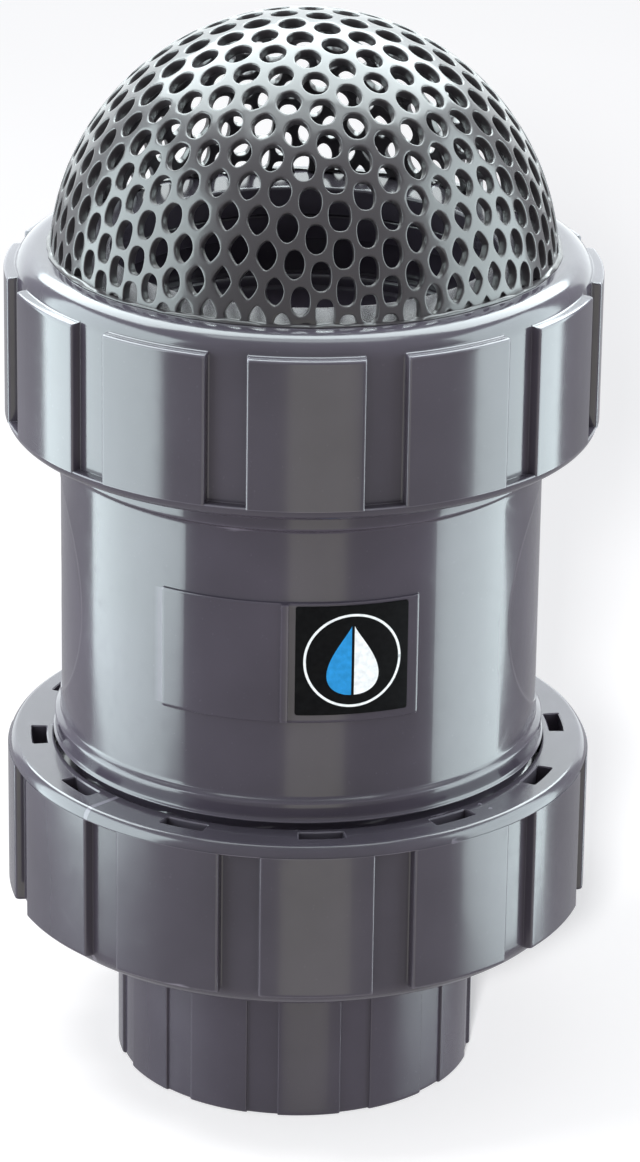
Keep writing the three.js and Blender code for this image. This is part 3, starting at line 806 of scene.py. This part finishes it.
def label(sheet, white, blue):
    """Black sticker with a plain ring and a water drop."""
    level = (low("label") + high("label")) / 2
    at = LABEL_BEARING
    half_u = math.radians(LABEL_HALF) * LABEL_R
    half_v = (high("label") - low("label")) / 2
    corner = LABEL_CORNER
    v = np.linspace(-half_v, half_v, 40)
    rounding = corner * (1 - np.cos(np.radians([20, 40, 60, 80])))
    v = np.sort(np.concatenate([v, half_v - rounding, -half_v + rounding]))
    into = np.clip(np.abs(v) - (half_v - corner), 0, corner)
    width = half_u - corner + np.sqrt(np.maximum(corner**2 - into**2, 0))
    u = width[:, None] * np.linspace(-1, 1, 40)[None, :]
    verts, faces = slab(u, np.repeat(v[:, None], 40, 1), LABEL_R - LABEL_FILM, LABEL_R, at, level)
    make("nameplate_sticker", verts, faces, sheet, "valve_body", ["label"])
    ink_low = LABEL_R - 0.01
    ink_high = LABEL_R + 0.04
    angle = np.radians(np.linspace(0, 360, 121))
    radius = np.array([9.4, 9.55, 9.75, 9.9])
    u = radius[:, None] * np.cos(angle)[None, :]
    v = radius[:, None] * np.sin(angle)[None, :] + PRINT_CENTRE
    verts, faces = slab(u, v, ink_low, ink_high, at, level)
    make("nameplate_ring", verts, faces, white, "valve_body", weld=0.001)
    # a drop: round below, drawn to a point above
    t = np.linspace(math.pi - 0.02, 0.03, 60)
    drop_v = DROP_HALF_HEIGHT * np.cos(t) + PRINT_CENTRE
    drop_w = DROP_HALF_WIDTH * np.sin(t) * np.sin(t / 2) ** 1.4
    for name, side, ink in (("nameplate_drop_left", -1, blue), ("nameplate_drop_right", 1, white)):
        u = side * (DROP_GAP + np.outer(drop_w, np.linspace(0, 1, 12)))
        verts, faces = slab(u, np.repeat(drop_v[:, None], 12, 1), ink_low, ink_high, at, level)
        make(name, verts, faces, ink, "valve_body")


# Materials and light

FLOOR_GLOW = 0.33
FLOOR_HALF = 6.0
FLOOR_DROP = 0.0002
WORLD_COLOUR = (0.95, 0.96, 1.0, 1)
WORLD_STRENGTH = 0.47
SIDE_TINT = (0.84, 0.985, 1.0)
TOP_TINT = (0.88, 0.99, 1.0)
BACK_TINT = (0.92, 1.0, 1.0)
FRONT_TINT = (1, 1, 0.75)

CAMERA_ELEVATION = 21.44
CAMERA_ROLL = 0.75
CAMERA_TARGET = 0.110
CAMERA_DISTANCE = 1.0531
CAMERA_LENS = 158.3
CAMERA_SHIFT = (0.0170, -0.0216)


class Nodes:
    """Short-hand for a Principled material's node tree."""

    def __init__(self, name):
        self.material = bpy.data.materials.new(name)
        self.material.use_nodes = True
        self.tree = self.material.node_tree
        self.tree.nodes.clear()
        self.output = self.tree.nodes.new("ShaderNodeOutputMaterial")
        self.shader = self.tree.nodes.new("ShaderNodeBsdfPrincipled")
        self.tree.links.new(self.shader.outputs["BSDF"], self.output.inputs["Surface"])
        self.coordinates = self.tree.nodes.new("ShaderNodeTexCoord").outputs["Object"]

    def link(self, a, b):
        self.tree.links.new(a, b)

    def stretched(self, scale):
        node = self.tree.nodes.new("ShaderNodeMapping")
        node.inputs["Scale"].default_value = scale
        self.link(self.coordinates, node.inputs["Vector"])
        return node.outputs["Vector"]

    def noise(self, scale, detail=2.0, vector=None, roughness=0.5):
        node = self.tree.nodes.new("ShaderNodeTexNoise")
        node.inputs["Scale"].default_value = scale
        node.inputs["Detail"].default_value = detail
        node.inputs["Roughness"].default_value = roughness
        self.link(vector or self.coordinates, node.inputs["Vector"])
        return node.outputs["Fac"]

    def ranged(self, value, from_low, from_high, to_low, to_high):
        node = self.tree.nodes.new("ShaderNodeMapRange")
        node.inputs["From Min"].default_value = from_low
        node.inputs["From Max"].default_value = from_high
        node.inputs["To Min"].default_value = to_low
        node.inputs["To Max"].default_value = to_high
        self.link(value, node.inputs["Value"])
        return node.outputs["Result"]

    def maths(self, operation, a, b):
        node = self.tree.nodes.new("ShaderNodeMath")
        node.operation = operation
        for socket, value in zip(node.inputs, (a, b)):
            if isinstance(value, (int, float)):
                socket.default_value = value
            else:
                self.link(value, socket)
        return node.outputs["Value"]

    def mixed(self, amount, a, b):
        node = self.tree.nodes.new("ShaderNodeMix")
        node.data_type = "RGBA"
        self.link(amount, node.inputs["Factor"])
        for socket, value in zip((node.inputs[6], node.inputs[7]), (a, b)):
            if isinstance(value, tuple):
                socket.default_value = (*value, 1)
            else:
                self.link(value, socket)
        return node.outputs[2]

    def bump(self, height, distance, strength=1.0, normal=None):
        node = self.tree.nodes.new("ShaderNodeBump")
        node.inputs["Strength"].default_value = strength
        node.inputs["Distance"].default_value = distance
        self.link(height, node.inputs["Height"])
        if normal is not None:
            self.link(normal, node.inputs["Normal"])
        return node.outputs["Normal"]

    def edges(self):
        """1 on the crests of edges, 0 elsewhere."""
        node = self.tree.nodes.new("ShaderNodeNewGeometry")
        return self.ranged(node.outputs["Pointiness"], 0.515, 0.6, 0, 1)

    def set(self, **values):
        for name, value in values.items():
            socket = self.shader.inputs[name.replace("_", " ")]
            if isinstance(value, (int, float)):
                socket.default_value = value
            elif isinstance(value, tuple):
                socket.default_value = (*value, 1)
            else:
                self.link(value, socket)
        return self.material


def moulded_pvc(name, colour, rough, edge_wear_and_highlight=0.5, coat=0.3, specular=0.5):
    """Glossy injection-moulded plastic: cloudy colour, fine grain, smears, and edges lightened partly as
    rubbed wear and partly as a painted highlight.
    """
    nodes = Nodes(name)
    cloud = nodes.noise(38, 4)
    darker = tuple(c * 0.86 for c in colour)
    lighter = tuple(min(1, c * 1.16) for c in colour)
    base = nodes.mixed(nodes.ranged(cloud, 0.3, 0.7, 0, 1), darker, lighter)
    speck = nodes.ranged(nodes.noise(1500, 1), 0.72, 0.8, 0, 0.35)
    base = nodes.mixed(speck, base, tuple(min(1, c * 1.8) for c in colour))
    # edge crests lightened in the colour: part rubbed wear, part painted highlight standing in for the bright
    # lines light draws along edges
    rubbed_and_highlit_edges = nodes.maths("MULTIPLY", nodes.edges(), edge_wear_and_highlight)
    base = nodes.mixed(rubbed_and_highlit_edges, base, tuple(min(1, c * 2.6 + 0.05) for c in colour))
    smear = nodes.noise(22, 5, nodes.stretched((1, 1, 0.35)), 0.6)
    dusty = nodes.ranged(nodes.noise(420, 3), 0.55, 0.8, 0, 0.07)
    roughness = nodes.maths("ADD", nodes.ranged(smear, 0.3, 0.75, rough * 0.8, rough * 1.35), dusty)
    grain = nodes.bump(nodes.noise(2600, 2), 0.00001, 0.12)
    wavy = nodes.bump(nodes.noise(95, 1), 0.00012, 0.35, grain)
    return nodes.set(Base_Color=base, Roughness=roughness, IOR=1.53, Normal=wavy,
                     Specular_IOR_Level=specular, Coat_Weight=coat, Coat_Roughness=0.09, Coat_IOR=1.5)


def rubber(name):
    nodes = Nodes(name)
    bloom = nodes.ranged(nodes.noise(160, 4), 0.4, 0.75, 0, 1)
    base = nodes.mixed(bloom, (0.012, 0.012, 0.013), (0.034, 0.033, 0.035))
    roughness = nodes.ranged(nodes.noise(700, 3), 0.3, 0.7, 0.42, 0.68)
    moulding = nodes.bump(nodes.noise(1800, 2), 0.00003, 0.5)
    return nodes.set(Base_Color=base, Roughness=roughness, Normal=moulding)


def printed(name, colour, rough):
    """Ink or film on the sticker, with the unevenness of a print."""
    nodes = Nodes(name)
    mottle = nodes.ranged(nodes.noise(900, 3), 0.35, 0.7, 0, 1)
    darker = tuple(c * 0.88 for c in colour)
    lighter = tuple(min(1, c * 1.1 + 0.002) for c in colour)
    base = nodes.mixed(mottle, darker, lighter)
    roughness = nodes.ranged(nodes.noise(240, 2), 0.3, 0.7, rough * 0.8, rough * 1.3)
    return nodes.set(Base_Color=base, Roughness=roughness, Specular_IOR_Level=0.12,
                     Normal=nodes.bump(nodes.noise(500, 2), 0.00002, 0.4))


def floor_paper(name):
    nodes = Nodes(name)
    cloud = nodes.ranged(nodes.noise(3, 3), 0.3, 0.7, 0, 1)
    base = nodes.mixed(cloud, (0.86, 0.86, 0.86), (0.88, 0.88, 0.885))
    return nodes.set(Base_Color=base, Roughness=0.9, Specular_IOR_Level=0.1,
                     Emission_Color=(1.0, 1.0, 1.0), Emission_Strength=FLOOR_GLOW)


# Studio


def softbox(name, bearing, elevation, distance, width, height, radiance, tint=(1, 1, 1), target=0.11):
    """A rectangular light that faces the valve; its brightness is given as radiance."""
    light = bpy.data.lights.new(name, "AREA")
    light.shape = "RECTANGLE"
    light.size = width
    light.size_y = height
    light.energy = radiance * math.pi * width * height
    light.color = tint
    item = bpy.data.objects.new(name, light)
    bpy.context.collection.objects.link(item)
    a, e = math.radians(bearing), math.radians(elevation)
    away = Vector((math.sin(a) * math.cos(e), -math.cos(a) * math.cos(e), math.sin(e)))
    item.location = Vector((0, 0, target)) + away * distance
    item.rotation_mode = "QUATERNION"
    item.rotation_quaternion = away.to_track_quat("Z", "Y")
    item.visible_camera = False
    return item


def studio():
    world = bpy.data.worlds.new("studio")
    world.use_nodes = True
    world.node_tree.nodes["Background"].inputs["Color"].default_value = WORLD_COLOUR
    world.node_tree.nodes["Background"].inputs["Strength"].default_value = WORLD_STRENGTH
    bpy.context.scene.world = world
    mesh = bpy.data.meshes.new("floor")
    half = FLOOR_HALF
    corners = [(-half, -half, 0), (half, -half, 0), (half, half, 0), (-half, half, 0)]
    mesh.from_pydata(corners, [], [(0, 1, 2, 3)])
    mesh.materials.append(floor_paper("floor_paper"))
    floor = bpy.data.objects.new("floor", mesh)
    floor.location.z = cad_bounds[0][2] - FLOOR_DROP
    floor.visible_glossy = False
    bpy.context.collection.objects.link(floor)
    lit = [
        softbox("left_softbox", -85, 8, 1.2, 1.5, 1.6, 6.0, SIDE_TINT),
        softbox("right_softbox", 91, 7, 1.2, 1.12, 1.7, 5.4, SIDE_TINT),
        softbox("top_softbox", 180, 58, 1.3, 2.0, 1.4, 8.8, TOP_TINT),
        softbox("front_top_strip", 0, 84, 1.5, 1.2, 0.34, 3.6, TOP_TINT),
        softbox("back_panel", 180, 10, 1.6, 2.6, 1.0, 1.5, BACK_TINT),
        softbox("front_fill", 8, -18, 2.0, 0.9, 0.85, 0.8, FRONT_TINT),
    ]
    # the softboxes light the valve, and a soft key light the paper with the valve's shadow on it
    off_paper = bpy.data.collections.new("all_but_the_paper")
    off_paper.objects.link(floor)
    off_paper.collection_objects[0].light_linking.link_state = "EXCLUDE"
    for light in lit:
        light.light_linking.receiver_collection = off_paper
    paper_only = bpy.data.collections.new("paper")
    paper_only.objects.link(floor)
    for key in (
        softbox("key_light", -5.5, 22, 2.2, 0.2, 0.2, 330.0),
        softbox("contact_light", -75, 68, 2.0, 0.45, 0.45, 12.0),
    ):
        key.light_linking.receiver_collection = paper_only


def camera():
    elevation = math.radians(CAMERA_ELEVATION)
    back = Vector((0, -math.cos(elevation), math.sin(elevation)))
    data = bpy.data.cameras.new("camera")
    data.lens = CAMERA_LENS
    data.sensor_width = 36
    data.shift_x, data.shift_y = CAMERA_SHIFT
    item = bpy.data.objects.new("camera", data)
    item.location = Vector((0, 0, CAMERA_TARGET)) + back * CAMERA_DISTANCE
    item.rotation_mode = "QUATERNION"
    roll = Quaternion((0, 0, 1), math.radians(CAMERA_ROLL))
    item.rotation_quaternion = (-back).to_track_quat("-Z", "Y") @ roll
    bpy.context.collection.objects.link(item)
    bpy.context.scene.camera = item


camera()
studio()

pvc = moulded_pvc("moulded_grey_pvc", (0.049, 0.040, 0.055), 0.17)
pvc_nut = moulded_pvc("moulded_grey_pvc_nut", (0.051, 0.043, 0.056), 0.16, 0.7)
pvc_sheet = moulded_pvc("formed_grey_pvc_sheet", (0.034, 0.029, 0.032), 0.3, 0.1, 0.45, 0.45)
pvc_ball = moulded_pvc("turned_grey_pvc", (0.16, 0.158, 0.165), 0.24, 0.2)
black_rubber = rubber("black_elastomer")

union_nuts(pvc_nut)
valve_body(pvc)
end_connector(pvc)
check_ball(pvc_ball)
seat_retainer(pvc)
screen_dome(pvc_sheet)
weld_bead(pvc_sheet)
o_ring("outlet_face_o_ring_moulding", "outlet_face_o_ring", black_rubber, "valve_body")
o_ring("retainer_o_ring_moulding", "retainer_o_ring", black_rubber, "valve_body")

seat_low = low("ball_seat")
seat_high = high("ball_seat")
ring_piece(
    "ball_seat_ring",
    [(26.9, seat_low, 0.2), (43.2, seat_low, 0.3), (43.2, seat_high, 0.3), (25.6, seat_high, 0.25),
     (25.5, seat_low + 1.3, 0.5)],
    black_rubber, "valve_body", "ball_seat",
)
clamp_low = low("inlet_clamp_ring")
clamp_high = high("inlet_clamp_ring")
ring_piece(
    "inlet_clamp_ring_moulding",
    [(40.6, clamp_low, 0.4), (48, clamp_low, 0.5), (48, clamp_high, 0.5), (40.6, clamp_high, 0.8)],
    pvc, "clamp_ring", "inlet_clamp_ring",
)
label(
    printed("sticker_black", (0.0025, 0.0025, 0.003), 0.5),
    printed("sticker_white", (0.86, 0.87, 0.88), 0.4),
    printed("sticker_blue", (0.02, 0.27, 0.62), 0.36),
)

bpy.context.scene.view_settings.view_transform = "Standard"
